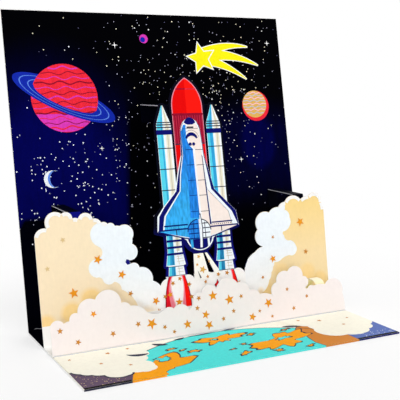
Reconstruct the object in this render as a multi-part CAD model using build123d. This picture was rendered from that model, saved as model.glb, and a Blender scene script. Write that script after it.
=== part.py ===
from build123d import *
import os
from math import cos, radians, sin

# Pop-up greeting card, standing open: a folded cover, two die-cut layers and the paper struts between them.
# Millimetres, +Z up, X across the card, -Y towards the viewer; the origin is the middle of the base's underside.

# Card
CARD_WIDTH = 133.0
BACK_HEIGHT = 133.5  # length of the back, measured up its face
BASE_DEPTH = 70.0
BACK_LEAN = 11.0  # degrees that the back and every layer lean away from the viewer
CARD_STOCK = 0.6
LAYER_STOCK = 0.35
CARD_BEND = 0.6  # bend radius on the middle of the stock
LAYER_BEND = 0.4

# Layers: distance of each foot in front of the spine, and height of the tallest cloud on each
REAR_FOOT = 22.5
FRONT_FOOT = 34.0
REAR_CLOUD_RISE = 52.0
FRONT_CLOUD_RISE = 22.0
FRONT_SCORE = 1.5  # height of the front layer's folded foot, under the cut clouds
UPSTAND = 8.2  # flap of the front sheet that is glued to the rear layer
TAB_CLEARANCE = 0.4
STRUT_WIDTH = 5.2
STRUT_TAB = 8.0
STRAP_WIDTH = 4.6

# Shuttle on the rear layer, as heights up the layer and widths across it
CUT_MARGIN = 1.1  # printed sky left round the shuttle by the cutting die
TANK_WIDTH = 14.5
TANK_TIP = 104.1
TANK_SHOULDER = 92.0
TANK_END = 60.0
BOOSTER_PITCH = 23.3
BOOSTER_WIDTH = 6.7
BOOSTER_TIP = 92.3
BOOSTER_TIP_WIDTH = 0.7
BOOSTER_CONE = 84.4
SKIRT_TOP = 31.5
SKIRT_WIDTH = 8.9
SKIRT_END = 25.6
NOZZLE_WIDTH = 7.7
NOZZLE_END = 21.3
ORBITER_TIP = 87.2
ORBITER_CHEEK = 81.2
ORBITER_WIDTH = 11.0
WING_SPAN = 38.4
WING_ROOT = 71.0
WING_KINK = 56.2
WING_TIP = 46.2
WING_END = 40.0
TAIL_RISE = 4.8
TAIL_END = 30.7

# Sizes that follow from those above
HALF_WIDTH = CARD_WIDTH / 2
SPINE_Y = BASE_DEPTH / 2
STACK_X = 0.05 * HALF_WIDTH
LEFT_STRUT_X = -0.75 * HALF_WIDTH
RIGHT_STRUT_X = 0.83 * HALF_WIDTH
CLOUD_STRUT_RISE = 0.977 * REAR_CLOUD_RISE
SHUTTLE_STRUT_RISE = BOOSTER_TIP
SHUTTLE_STRUT_WIDTH = BOOSTER_PITCH + BOOSTER_TIP_WIDTH
STRAP_X = RIGHT_STRUT_X
STRAP_RISE = 0.645 * FRONT_CLOUD_RISE
STRAP_TAB = STRAP_RISE - UPSTAND - TAB_CLEARANCE
STRAP_BEND = 0.39 * (FRONT_FOOT - REAR_FOOT)  # wide bend that makes the strap bow up between the clouds
TRAIL_FOOT = 0.35 * REAR_CLOUD_RISE
UP = Vector(0, sin(radians(BACK_LEAN)), cos(radians(BACK_LEAN)))
FACING = Vector(0, -cos(radians(BACK_LEAN)), sin(radians(BACK_LEAN)))

# Cloud edges run left to right as (x, height, bulge of the lobe that starts there).
# x is in hundredths of the card's half width, the height in hundredths of the layer's cloud rise.
# A bulge is the lobe's rise over its chord: 0.5 is a half circle, 0 a straight cut, below 0 a hollow.
REAR_LEFT_CLOUD = [
    (-100, 82, 0.22), (-92.5, 87.5, 0.42), (-83, 97.5, 0.32), (-76.5, 93.5, 0.10), (-73, 93, 0.38),
    (-64, 92, 0.18), (-59, 88.5, 0.18), (-55, 87, 0.25), (-50.5, 85, 0.08), (-47.5, 84.5, 0.40),
    (-40, 74, 0.05), (-40.5, 70, 0.46), (-43.5, 57.5, 0.05), (-42.5, 54.5, 0.28), (-37, 51, 0.27),
    (-29, 39.5, 0.08), (-24, 34.5, 0.15),
]
REAR_MIDDLE_CLOUD = [
    (-19, 39.5, 0.0), (-6.5, 40.5, 0.22), (-0.5, 36.5, 0.0), (10, 41, -0.10), (14, 40.5, 0.0),
    (28, 40.5, 0.24),
]
REAR_RIGHT_CLOUD = [
    (36, 36.5, 0.15), (45, 52.5, 0.08), (51.5, 56.5, 0.32), (48.5, 71, 0.38), (58.5, 84.5, 0.13),
    (66, 88.5, 0.12), (71.5, 92.5, 0.27), (84, 93.5, 0.08), (90.5, 96, 0.36), (101, 89.5, 0.05),
    (102, 83, 0.0),
]
FRONT_LEFT_CLOUD = [
    (-100, 50, 0.36), (-92, 52.5, 0.10), (-88.5, 56, 0.30), (-83.5, 67.5, 0.30), (-72.5, 86.5, 0.42),
    (-57, 75, 0.20), (-51.5, 68, 0.14), (-41.5, 53, -0.17), (-30, 53, 0.20), (-24, 52, 0.31),
]
FRONT_MIDDLE_CLOUD = [
    (-14, 45.5, 0.0), (-10.5, 56, 0.32), (-4.5, 73.5, 0.40), (5.5, 76.5, 0.32), (20.5, 83.5, 0.25),
    (28.5, 66, 0.20), (36, 56, 0.12),
]
FRONT_RIGHT_CLOUD = [
    (45.5, 49, 0.28), (49, 74, 0.30), (58, 92, 0.42), (69, 79.5, 0.46), (70, 57, 0.0),
    (72, 52.5, 0.25), (77, 57.5, 0.08), (86, 57, 0.45), (99, 36.5, 0.03), (100, 18, 0.0),
]


def layer_plane(foot, ahead=0.0):
    """Plane of a leaning layer whose foot is so far in front of the spine; ahead moves it along its normal."""
    origin = Vector(0, SPINE_Y - foot, CARD_STOCK) + FACING * ahead
    return Plane(origin=origin, x_dir=(1, 0, 0), z_dir=FACING)


def cloud_edge(cusps):
    """Chain of round cloud lobes, one arc from each cusp to the next."""
    lobes = []
    for (x0, y0, bulge), (x1, y1, _) in zip(cusps, cusps[1:]):
        crown = ((x0 + x1) / 2 - bulge * (y1 - y0), (y0 + y1) / 2 + bulge * (x1 - x0))
        lobes.append(ThreePointArc((x0, y0), crown, (x1, y1)) if bulge else Line((x0, y0), (x1, y1)))
    return lobes


def cloud_sheet(shares, rise, foot=0.0):
    """Flat sheet from a foot line up to a cloud edge that reaches both sides of the card."""
    cusps = [(x / 100 * HALF_WIDTH, height / 100 * rise, bulge) for x, height, bulge in shares]
    sides = Polyline(cusps[-1][:2], (HALF_WIDTH, foot), (-HALF_WIDTH, foot), cusps[0][:2])
    return make_face(cloud_edge(cusps) + sides.edges())


def symmetric(*right_side):
    """Face from the edges of its right half, which start and end on the shuttle's axis."""
    half = make_face(list(right_side) + [Line(right_side[-1] @ 1, right_side[0] @ 0)])
    return half + mirror(half, about=Plane.YZ)


def folded_sheet(path, stock, left, right):
    """Sheet of one stock that follows a folded path in the YZ plane, cut to a width across the card."""
    section = Plane.YZ * trace(path, line_width=stock)
    return Pos(left, 0, 0) * extrude(section, amount=right - left)


def side_point(plane, rise):
    """(y, z) of the point so far up a layer's plane."""
    point = plane.origin + UP * rise
    return point.Y, point.Z


def at_height(plane, z):
    """(y, z) of the point where a layer's plane reaches a height above the table."""
    return side_point(plane, (z - plane.origin.Z) / UP.Z)


def tank():
    shoulder = (TANK_WIDTH / 2, TANK_SHOULDER)
    nose = ThreePointArc((0, TANK_TIP), (TANK_WIDTH * 0.34, TANK_TIP * 0.62 + TANK_SHOULDER * 0.38), shoulder)
    side = Polyline(shoulder, (TANK_WIDTH / 2, TANK_END), (0, TANK_END))
    return symmetric(nose, *side.edges())


def booster():
    side = Polyline(
        (BOOSTER_TIP_WIDTH / 2, BOOSTER_TIP),
        (BOOSTER_WIDTH / 2, BOOSTER_CONE),
        (BOOSTER_WIDTH / 2, SKIRT_TOP),
        (SKIRT_WIDTH / 2, SKIRT_END),
        (NOZZLE_WIDTH * 0.43, SKIRT_END),
        (NOZZLE_WIDTH / 2, NOZZLE_END),
        (0, NOZZLE_END),
    )
    return symmetric(Line((0, BOOSTER_TIP), (BOOSTER_TIP_WIDTH / 2, BOOSTER_TIP)), *side.edges())


def orbiter():
    cheek = (ORBITER_WIDTH * 0.43, ORBITER_CHEEK)
    root = (ORBITER_WIDTH / 2, WING_ROOT)
    tail = (ORBITER_WIDTH * 0.58, TAIL_END + TAIL_RISE)
    nose = ThreePointArc((0, ORBITER_TIP), (cheek[0] * 0.68, ORBITER_TIP * 0.65 + ORBITER_CHEEK * 0.35), cheek)
    flank = ThreePointArc(cheek, (ORBITER_WIDTH * 0.48, (ORBITER_CHEEK + WING_ROOT) / 2), root)
    wing = Polyline(
        root,
        (ORBITER_WIDTH * 0.81, WING_KINK),
        (WING_SPAN * 0.478, WING_TIP),
        (WING_SPAN / 2, WING_END),
        (ORBITER_WIDTH * 0.68, TAIL_END + TAIL_RISE * 1.17),
        tail,
    )
    engines = ThreePointArc(tail, (ORBITER_WIDTH * 0.36, TAIL_END + TAIL_RISE * 0.21), (0, TAIL_END))
    return symmetric(nose, flank, *wing.edges(), engines)


def trail(top_x, top_width, foot_x, foot_width):
    """Trail of vapour from the engines down into the clouds, measured in orbiter widths."""
    corners = Polyline(
        ((top_x - top_width / 2) * ORBITER_WIDTH, TAIL_END),
        ((top_x + top_width / 2) * ORBITER_WIDTH, TAIL_END),
        ((foot_x + foot_width / 2) * ORBITER_WIDTH, TRAIL_FOOT),
        ((foot_x - foot_width / 2) * ORBITER_WIDTH, TRAIL_FOOT),
        close=True,
    )
    return make_face(corners.edges())


# Cover: one sheet scored and folded at the spine
cover_path = FilletPolyline(
    (-BASE_DEPTH / 2, CARD_STOCK / 2),
    (SPINE_Y, CARD_STOCK / 2),
    (SPINE_Y + BACK_HEIGHT * UP.Y, CARD_STOCK / 2 + BACK_HEIGHT * UP.Z),
    radius=CARD_BEND,
)
cover = folded_sheet(cover_path, CARD_STOCK, -HALF_WIDTH, HALF_WIDTH)
sky_face = Plane(
    origin=Vector(0, SPINE_Y, CARD_STOCK / 2) + FACING * (CARD_STOCK / 2),
    x_dir=(1, 0, 0),
    z_dir=FACING,
)

# Rear layer: clouds, shuttle and exhaust cut from one sheet
both_boosters = Pos(-BOOSTER_PITCH / 2, 0) * booster() + Pos(BOOSTER_PITCH / 2, 0) * booster()
stack = Pos(STACK_X, 0) * (tank() + both_boosters + orbiter())
rear_outline = (
    cloud_sheet(REAR_LEFT_CLOUD + REAR_MIDDLE_CLOUD + REAR_RIGHT_CLOUD, REAR_CLOUD_RISE)
    + offset(stack, amount=CUT_MARGIN, kind=Kind.ARC)
    + Pos(STACK_X, 0) * (trail(-0.10, 0.38, 0.0, 0.69) + trail(0.22, 0.17, 0.83, 0.40))
)
rear_layer = extrude(layer_plane(REAR_FOOT) * rear_outline, amount=LAYER_STOCK)

# Front layer: one sheet whose foot is glued to the base and whose flap is glued to the rear layer
front_middle = layer_plane(FRONT_FOOT)
upstand_middle = layer_plane(REAR_FOOT, ahead=LAYER_STOCK * 1.5)
floor_z = CARD_STOCK + LAYER_STOCK / 2
front_path = FilletPolyline(
    side_point(front_middle, FRONT_SCORE),
    at_height(front_middle, floor_z),
    at_height(upstand_middle, floor_z),
    side_point(upstand_middle, UPSTAND),
    radius=LAYER_BEND,
)
front_foot = folded_sheet(front_path, LAYER_STOCK, -HALF_WIDTH, HALF_WIDTH)
front_clouds = FRONT_LEFT_CLOUD + FRONT_MIDDLE_CLOUD + FRONT_RIGHT_CLOUD
front_outline = cloud_sheet(front_clouds, FRONT_CLOUD_RISE, FRONT_SCORE)
front_layer = front_foot + extrude(front_middle * front_outline, amount=LAYER_STOCK / 2, both=True)


def bridge(back_tab, front_tab, rise, tab, bend, middle_x, width):
    """Level paper bridge between two leaning faces, with a glued tab hanging at each end."""
    bridge_z = CARD_STOCK + rise * UP.Z
    path = FilletPolyline(
        at_height(back_tab, bridge_z - tab * UP.Z),
        at_height(back_tab, bridge_z),
        at_height(front_tab, bridge_z),
        at_height(front_tab, bridge_z - tab * UP.Z),
        radius=bend,
    )
    return folded_sheet(path, LAYER_STOCK, middle_x - width / 2, middle_x + width / 2)


def strut(rise, middle_x, width):
    """Strut from the sky to the back of the rear layer; it keeps the layer parallel to the sky."""
    sky_tab = Plane(origin=sky_face.origin + FACING * (LAYER_STOCK / 2), x_dir=(1, 0, 0), z_dir=FACING)
    layer_tab = layer_plane(REAR_FOOT, ahead=-LAYER_STOCK / 2)
    return bridge(sky_tab, layer_tab, rise, STRUT_TAB, LAYER_BEND, middle_x, width)


def bowed_strap():
    """Narrow strap that keeps the two cloud layers apart."""
    rear_tab = layer_plane(REAR_FOOT, ahead=LAYER_STOCK * 1.5)
    front_tab = layer_plane(FRONT_FOOT, ahead=-LAYER_STOCK)
    return bridge(rear_tab, front_tab, STRAP_RISE, STRAP_TAB, STRAP_BEND, STRAP_X, STRAP_WIDTH)


nodes = {
    "card_cover": cover,
    "rear_layer": rear_layer,
    "front_layer": front_layer,
    "left_strut": strut(CLOUD_STRUT_RISE, LEFT_STRUT_X, STRUT_WIDTH),
    "right_strut": strut(CLOUD_STRUT_RISE, RIGHT_STRUT_X, STRUT_WIDTH),
    "shuttle_strut": strut(SHUTTLE_STRUT_RISE, STACK_X, SHUTTLE_STRUT_WIDTH),
    "bowed_strap": bowed_strap(),
}
os.makedirs("parts", exist_ok=True)
for name, shape in nodes.items():
    solid = shape.solid()
    solid.label = name
    export_step(solid, f"parts/{name}.step")
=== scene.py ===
import bpy
import numpy as np
from mathutils import Matrix, Vector
from mathutils.geometry import tessellate_polygon


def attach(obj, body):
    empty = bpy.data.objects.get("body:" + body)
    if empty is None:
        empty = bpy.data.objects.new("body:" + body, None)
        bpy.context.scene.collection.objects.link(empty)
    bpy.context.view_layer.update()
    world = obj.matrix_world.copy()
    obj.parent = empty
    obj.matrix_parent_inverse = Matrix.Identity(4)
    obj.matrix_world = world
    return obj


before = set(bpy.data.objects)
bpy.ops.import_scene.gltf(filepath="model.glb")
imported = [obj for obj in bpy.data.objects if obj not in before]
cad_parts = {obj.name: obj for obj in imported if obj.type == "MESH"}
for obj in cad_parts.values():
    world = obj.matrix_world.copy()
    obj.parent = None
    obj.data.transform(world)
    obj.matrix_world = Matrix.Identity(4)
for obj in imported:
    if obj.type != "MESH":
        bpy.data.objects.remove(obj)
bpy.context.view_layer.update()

bl_info = {
    "name": "Pop-up card",
    "version": (1, 0, 0),
    "blender": (4, 5, 0),
    "location": "3D View > Sidebar > Card",
    "description": "Prints and finishes the sheets of a pop-up card and stages it on a pale floor",
    "category": "Object",
}

MM = 0.001
TINY = 1e-9
LEAN = np.radians(11.0)
ACROSS = np.array([1.0, 0.0, 0.0])
DEPTH = np.array([0.0, 1.0, 0.0])
RISE = np.array([0.0, 0.0, 1.0])
UP = np.array([0.0, np.sin(LEAN), np.cos(LEAN)])
FACING = np.array([0.0, -np.cos(LEAN), np.sin(LEAN)])

# Sizes of the card in millimetres; the print stops a little short of its cut edges
CARD_STOCK = 0.6
LAYER_STOCK = 0.35
HALF = 66.5
BACK = 133.5
FRONT_EDGE = -35.0
PRINT_SIDE = HALF - 0.2
PRINT_FRONT = FRONT_EDGE + 0.05
STACK = 3.325
BOOSTERS = (STACK - 11.65, STACK + 11.65)
ORBITER = STACK + 0.45

# Printed face of each sheet in millimetres: a point of it, the ways across and up it, and the way it faces
SHEETS = {
    "sky": (np.array([0.0, 35.0, CARD_STOCK / 2]) + CARD_STOCK / 2 * FACING, ACROSS, UP, FACING),
    "rear": (np.array([0.0, 12.5, CARD_STOCK]) + LAYER_STOCK * FACING, ACROSS, UP, FACING),
    "front": (np.array([0.0, 1.0, CARD_STOCK]) + LAYER_STOCK / 2 * FACING, ACROSS, UP, FACING),
    "base": (np.array([0.0, 0.0, CARD_STOCK]), ACROSS, DEPTH, RISE),
}


def colour(label, red, green, blue):
    """Colour setting, with its default as the red, green and blue of a screen."""
    return bpy.props.FloatVectorProperty(
        name=label, description=f"Colour of {label.lower()}", size=3, min=0.0, max=1.0,
        subtype="COLOR_GAMMA", default=(red / 255, green / 255, blue / 255),
    )


class CardInks(bpy.types.PropertyGroup):
    """Colours of the papers and printing inks."""

    sky_blue: colour("Sky blue", 2, 3, 78)
    sky_black: colour("Sky black", 0, 0, 2)
    paper: colour("Bare paper", 248, 247, 245)
    strut_paper: colour("Strut paper", 2, 3, 14)
    cut_grey: colour("Strut cut edge", 196, 196, 202)
    peach: colour("Peach cloud", 250, 230, 195)
    honey: colour("Honey cloud", 248, 217, 146)
    pale_honey: colour("Honey cloud low down", 248, 223, 173)
    # Ink of the painted shadows that the front clouds cast on the rear clouds
    painted_shadow_gold: colour("Painted gold shadow", 251, 217, 150)
    cloud_white: colour("Cloud white", 242, 248, 253)
    blush: colour("Front cloud", 244, 237, 234)
    mist: colour("Middle cloud", 255, 250, 244)
    rosy: colour("Front cloud foot", 255, 241, 238)
    strap_cream: colour("Strap", 255, 242, 170)
    ivory: colour("Base cloud", 254, 250, 233)
    star_orange: colour("Large cloud stars", 236, 152, 34)
    star_brown: colour("Small cloud stars", 204, 136, 50)
    star_tan: colour("Faded cloud stars", 228, 200, 146)
    star_white: colour("Sky stars", 250, 250, 250)
    star_blue: colour("Blue sky stars", 240, 243, 255)
    star_dim: colour("Dim sky stars", 190, 190, 214)
    star_faint: colour("Faint sky stars", 112, 112, 152)
    star_cream: colour("Cream sky stars", 250, 244, 214)
    star_yellow: colour("Shooting star", 252, 243, 20)
    navy: colour("Navy", 8, 13, 104)
    margin_blue: colour("Shuttle margin", 1, 2, 18)
    blue_margin: colour("Booster margin", 12, 14, 118)
    line_ink: colour("Line ink", 44, 46, 68)
    red: colour("Tank red", 230, 4, 4)
    scarlet: colour("Tank scarlet", 255, 22, 12)
    crimson: colour("Tank crimson", 146, 12, 44)
    rib_red: colour("Tank ribs", 196, 42, 72)
    rose: colour("Rose", 226, 140, 160)
    cyan: colour("Cyan", 86, 213, 236)
    azure: colour("Azure", 50, 162, 216)
    cream: colour("Cream", 236, 230, 208)
    tan: colour("Tan", 205, 198, 178)
    orbiter_blue: colour("Orbiter blue", 54, 169, 236)
    orbiter_deep: colour("Orbiter deep blue", 34, 128, 220)
    shell: colour("Shell", 248, 233, 225)
    flame: colour("Flame", 232, 22, 40)
    pink: colour("Pink", 246, 132, 148)
    rose_light: colour("Light pink", 252, 196, 204)
    vapour: colour("Vapour", 255, 252, 238)
    planet_red: colour("Planet red", 238, 40, 58)
    planet_pink: colour("Planet pink", 218, 58, 182)
    ring_blue: colour("Ring blue", 16, 40, 168)
    ring_sky: colour("Ring sky blue", 96, 140, 232)
    amber: colour("Amber", 226, 178, 92)
    sea: colour("Sea", 82, 229, 223)
    land: colour("Land", 255, 166, 6)
    earth: colour("Brown land", 214, 134, 52)
    dusk: colour("Left corner", 98, 78, 102)
    evening: colour("Right corner", 92, 114, 182)


class CardSizes(bpy.types.PropertyGroup):
    """Sizes of the printing and of the stage."""

    ink_gap: bpy.props.FloatProperty(
        name="Ink gap", description="Rise from one layer of ink to the next",
        default=0.00002, min=0.000005, precision=6, unit="LENGTH",
    )
    rim: bpy.props.FloatProperty(
        name="Cloud rim", description="Width of the white rim inside the cut edge of the clouds",
        default=0.0015, min=0.0002, precision=4, unit="LENGTH",
    )
    sky_dots: bpy.props.IntProperty(
        name="Sky dots", description="Number of small stars printed on the sky",
        default=940, min=60, max=3000,
    )
    eye: bpy.props.FloatVectorProperty(
        name="Camera place", description="Where the camera stands",
        default=(-0.1465, -0.27889, 0.1008), subtype="TRANSLATION", unit="LENGTH",
    )
    heading: bpy.props.FloatProperty(
        name="Camera heading", description="Turn of the camera about the vertical",
        default=np.radians(-26.80), subtype="ANGLE",
    )
    dip: bpy.props.FloatProperty(
        name="Camera dip", description="How far the camera looks down",
        default=np.radians(8.31), subtype="ANGLE",
    )
    roll: bpy.props.FloatProperty(
        name="Camera roll", description="Roll of the camera", default=-0.0063, subtype="ANGLE",
    )
    lens: bpy.props.FloatProperty(
        name="Lens", description="Focal length on a 36 mm sensor", default=72.48, unit="CAMERA",
    )


# Shapes on a sheet, in millimetres across and up it


def bow(start, end, bulge, steps=8):
    """Circle arc from start to end that rises bulge times its chord on its left; the end point is left out.

    With half angle a = 2 atan(2 bulge), a point at share t of the arc is the chord's middle plus, in chord
    lengths, sin(a(2t - 1)) / (2 sin a) along it and (cos(a(2t - 1)) - cos a) / (2 sin a) to its left.
    """
    start, end = np.array(start[:2], float), np.array(end[:2], float)
    if abs(bulge) < TINY:
        return start[None, :]
    turn = np.linspace(-1, 1, steps, endpoint=False)[:, None]
    chord = end - start
    left = np.array([-chord[1], chord[0]])
    a = 2 * np.arctan(2 * bulge)
    along = np.sin(a * turn) / (2 * np.sin(a))
    aside = (np.cos(a * turn) - np.cos(a)) / (2 * np.sin(a))
    return (start + end) / 2 + along * chord + aside * left


def lobes(cusps):
    """Chain of bows from cusp to cusp, with the last cusp at its end; a cusp is (x, height, bulge)."""
    runs = [bow(a, b, a[2]) for a, b in zip(cusps, cusps[1:])]
    return np.concatenate(runs + [np.array([cusps[-1][:2]], float)])


def ruled(one, other):
    """Grid of straight lines that join two edges of as many points."""
    return np.stack([one, other], axis=1)


def strip(heights, left, right):
    """Grid between a left and a right edge that are given at the same heights."""
    heights, left, right = np.broadcast_arrays(np.asarray(heights, float), left, right)
    return ruled(np.stack([left, heights], -1), np.stack([right, heights], -1))


def ribbon(path, left, right):
    """Band along a path, from so far on its left to so far on its right; either may change along it.

    Left of a point is the path's gradient there, at length one and turned by a quarter.
    """
    path = np.asarray(path, float)
    way = np.gradient(path, axis=0)
    way /= np.linalg.norm(way, axis=1)[:, None]
    normal = np.stack([-way[:, 1], way[:, 0]], -1)
    return ruled(path + normal * np.reshape(left, (-1, 1)), path - normal * np.reshape(right, (-1, 1)))


def circle(angle):
    """Points of the unit circle at those angles."""
    return np.stack([np.cos(angle), np.sin(angle)], -1)


def around(sides):
    """Even angles once round a circle."""
    return np.arange(sides) * 2 * np.pi / sides


def star(middle, size, points=5, waist=0.42, turn=0.0):
    """Rim of a star: the radius swings between size and waist times size, point by point."""
    step = np.arange(2 * points)
    radius = size * np.where(step % 2 == 0, 1.0, waist)
    return np.asarray(middle, float) + radius[:, None] * circle(np.pi / 2 + turn + step * np.pi / points)


def disc(middle, radius, sides=40):
    """Rim of a circle."""
    return np.asarray(middle, float) + radius * circle(around(sides))


def shore(middle, size, waves, seed):
    """Rim of a land: an ellipse whose radius swings with waves of falling height and seeded phase.

    A wave's height is 0.48 over its order to the power 0.9, and the swing stays between -0.45 and 0.5. Each
    point then moves across by half its height over the middle.
    """
    rng = np.random.default_rng(seed)
    angle = around(54)
    order = np.arange(2, 2 + waves)
    phase = rng.uniform(0, 2 * np.pi, waves)
    swing = (np.cos(order * angle[:, None] + phase) * 0.48 / order**0.9).sum(1)
    x, v = ((1 + np.clip(swing, -0.45, 0.5))[:, None] * circle(angle) * size).T
    return middle + np.stack([x + 0.5 * v, v], -1)


def cut_below(rim, middle, low):
    """Draws the points of a rim that lie below a level up to it, along their rays from the middle."""
    drop = np.minimum(rim[:, 1] - middle[1], -TINY)
    share = np.minimum((low - middle[1]) / drop, 1.0)[:, None]
    return middle + (rim - middle) * share


def chord_band(middle, radius, low, high):
    """Part of a disc between two levels: at each level the half width is the circle's."""
    levels = np.linspace(low, high, 24)
    half = np.sqrt(np.maximum(radius**2 - levels**2, 0.0))
    return middle + strip(levels, -half, half)


def wavy_band(middle, radius, low, high, swing, phase):
    """Band across a disc with wavy edges: both move by swing times a sine that is calm at the ends."""
    reach = 0.985 * np.sqrt(radius**2 - ((low + high) / 2) ** 2)
    x = np.linspace(-reach, reach, 44)
    wave = swing * np.sin(3.2 * np.pi * x / radius + phase) * (1 - (x / reach) ** 2)
    limit = np.sqrt(np.maximum(radius**2 - x**2, 0.0))
    lower, upper = np.clip(low + wave, -limit, limit), np.clip(high + wave, -limit, limit)
    return middle + ruled(np.stack([x, lower], -1), np.stack([x, upper], -1))


class Printing:
    """Flat fields of ink on one sheet, gathered into one mesh that has a material slot for each ink.

    Shapes are laid to the right of the sheet's middle by aside. A level is the number of ink gaps that a
    shape lies above the lowest ink, so that shapes which overlap never share a plane. The lowest ink lies a
    part of a gap above the paper.
    """

    lowest = 0.6

    def __init__(self, sheet):
        """Starts with no ink on the sheet."""
        self.sheet = sheet
        self.aside = 0.0
        self.points, self.levels, self.faces, self.fills, self.inks = [], [], [], [], []
        self.count = 0

    def _add(self, ink, level, points, faces):
        """Takes up faces, turned round where their signed area says that they face into the sheet."""
        if ink not in self.inks:
            self.inks.append(ink)
        points = points + (self.aside, 0.0)
        corners = points[faces]
        after = np.roll(corners, -1, axis=1)
        area = (corners[..., 0] * after[..., 1] - corners[..., 1] * after[..., 0]).sum(1)
        faces = np.where((area < 0)[:, None], faces[:, ::-1], faces)
        self.faces += (faces + self.count).tolist()
        self.fills += [self.inks.index(ink)] * len(faces)
        self.points.append(points)
        self.levels.append(np.full(len(points), float(level)))
        self.count += len(points)

    def field(self, ink, level, grid):
        """Quads of a grid of points."""
        rows, columns = grid.shape[:2]
        index = np.arange(rows * columns).reshape(rows, columns)
        quads = np.stack([index[:-1, :-1], index[:-1, 1:], index[1:, 1:], index[1:, :-1]], -1)
        self._add(ink, level, grid.reshape(-1, 2), quads.reshape(-1, 4))

    def band(self, ink, level, heights, left, right):
        """Field between a left and a right edge."""
        self.field(ink, level, strip(heights, left, right))

    def line(self, ink, level, path, left, right):
        """Field along a path."""
        self.field(ink, level, ribbon(path, left, right))

    def fan(self, ink, level, rim, middle=None):
        """Triangles from the middle of a closed rim to each of its sides."""
        middle = rim.mean(0) if middle is None else middle
        near = np.arange(len(rim))
        triangles = np.stack([near, np.roll(near, -1), np.full(len(rim), len(rim))], -1)
        self._add(ink, level, np.concatenate([rim, middle[None, :]]), triangles)

    def dots(self, ink, level, middles, sizes, sides=6):
        """Many small round dots at once."""
        points = (middles[:, None, :] + sizes[:, None, None] * circle(around(sides))).reshape(-1, 2)
        self._add(ink, level, points, np.arange(len(points)).reshape(-1, sides))

    def shape(self, ink, level, rim):
        """Fill of a lobed rim, which no grid covers without folding over itself."""
        rim = np.asarray(rim, float)
        self._add(ink, level, rim, np.array(tessellate_polygon([rim])))

    def stars(self, level, spin, places, ink=None):
        """Five-pointed stars as (x, height, size), turned by spin times x; orange or brown by size."""
        for x, v, size in places:
            by_size = "star_orange" if size > 1.3 else "star_brown"
            self.fan(ink or by_size, level, star((x, v), size, turn=spin * x))

    def piece(self, name, slot):
        """Makes the object, with the ink in its place on the sheet."""
        origin, across, up, out = SHEETS[self.sheet]
        flat = np.concatenate(self.points)
        lift = bpy.context.scene.card_sizes.ink_gap * (self.lowest + np.concatenate(self.levels))
        places = MM * (origin + flat[:, :1] * across + flat[:, 1:] * up) + lift[:, None] * out
        mesh = bpy.data.meshes.new(name)
        mesh.from_pydata(places, [], self.faces)
        mesh.polygons.foreach_set("material_index", np.array(self.fills, np.int32))
        mesh.update()
        for ink in self.inks:
            mesh.materials.append(ink_material(ink))
        piece = bpy.data.objects.new(name, mesh)
        bpy.context.scene.collection.objects.link(piece)
        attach(piece, "root")


# Nodes


def plug(tree, socket, value):
    """Links a socket to an output, or sets its value."""
    if isinstance(value, bpy.types.NodeSocket):
        tree.links.new(value, socket)
    else:
        socket.default_value = value


def node(tree, kind, inputs=(), **settings):
    """Adds a node with its settings and its inputs, given as (name or number, value)."""
    made = tree.nodes.new(kind)
    for key, value in settings.items():
        setattr(made, key, value)
    for key, value in inputs:
        plug(tree, made.inputs[key], value)
    return made


def reckon(tree, operation, *values):
    """Math node's result."""
    return node(tree, "ShaderNodeMath", enumerate(values), operation=operation).outputs[0]


def vector(tree, operation, *values):
    """Vector Math node's outputs."""
    return node(tree, "ShaderNodeVectorMath", enumerate(values), operation=operation).outputs


def product(tree, first, *others):
    """Product of masks and values."""
    for value in others:
        first = reckon(tree, "MULTIPLY", first, value)
    return first


def greatest(tree, first, *others):
    """Greatest of masks and values."""
    for value in others:
        first = reckon(tree, "MAXIMUM", first, value)
    return first


def axis(tree, place, letter):
    """X, Y or Z of a vector."""
    return node(tree, "ShaderNodeSeparateXYZ", [(0, place)]).outputs[letter]


def reach_along(tree, place, way):
    """How far a vector reaches along a way: their dot product."""
    return vector(tree, "DOT_PRODUCT", place, tuple(way))["Value"]


def ramp(tree, value, start, end):
    """Share that goes from 0 to 1 as a value goes from start to end."""
    return node(tree, "ShaderNodeMapRange", [("Value", value), (1, start), (2, end)]).outputs[0]


def noise(tree, place, scale, detail):
    """Cloudy noise from 0 to 1."""
    inputs = [("Vector", place), ("Scale", scale), ("Detail", detail)]
    return node(tree, "ShaderNodeTexNoise", inputs).outputs[0]


def streaks(tree, place, scale):
    """Noise that is drawn out along the height by another scale there."""
    drawn = node(tree, "ShaderNodeMapping", [("Vector", place), ("Scale", scale)])
    return noise(tree, drawn.outputs[0], 1.0, 3.0)


def blend(tree, share, one, other):
    """Colour that goes from one to the other by share."""
    inputs = [("Factor", share), (6, one), (7, other)]
    return node(tree, "ShaderNodeMix", inputs, data_type="RGBA").outputs[2]


def true_normal(tree):
    """Way that a face points, without bump."""
    return tree.nodes.new("ShaderNodeNewGeometry").outputs["True Normal"]


def cut_sides(tree, normal):
    """Mask of the faces that point left or right."""
    return reckon(tree, "GREATER_THAN", reckon(tree, "ABSOLUTE", axis(tree, normal, "X")), 0.5)


def shade_of(ink):
    """Screen colour of an ink as the light that a shader takes, with full alpha."""
    c = np.array(getattr(bpy.context.scene.card_inks, ink), float)
    light = np.where(c <= 0.04045, c / 12.92, ((c + 0.055) / 1.055) ** 2.4)
    return (*light.tolist(), 1.0)


def level_of(sheet, way, more=0.0):
    """How far along a way a sheet's printed face starts, and so many millimetres further, in metres."""
    return MM * float(way @ SHEETS[sheet][0] + more)


# Groups that several materials share

# Grain of the mottling, the brushing and the fibres in noise waves a metre, and the span of the roughness
MOTTLE_GRAIN, BRUSH_GRAIN, FIBRE_GRAIN = 620.0, (1100.0, 1100.0, 120.0), 5200.0
LEAST_ROUGH, ROUGH_SPAN = 0.42, 0.22


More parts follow.
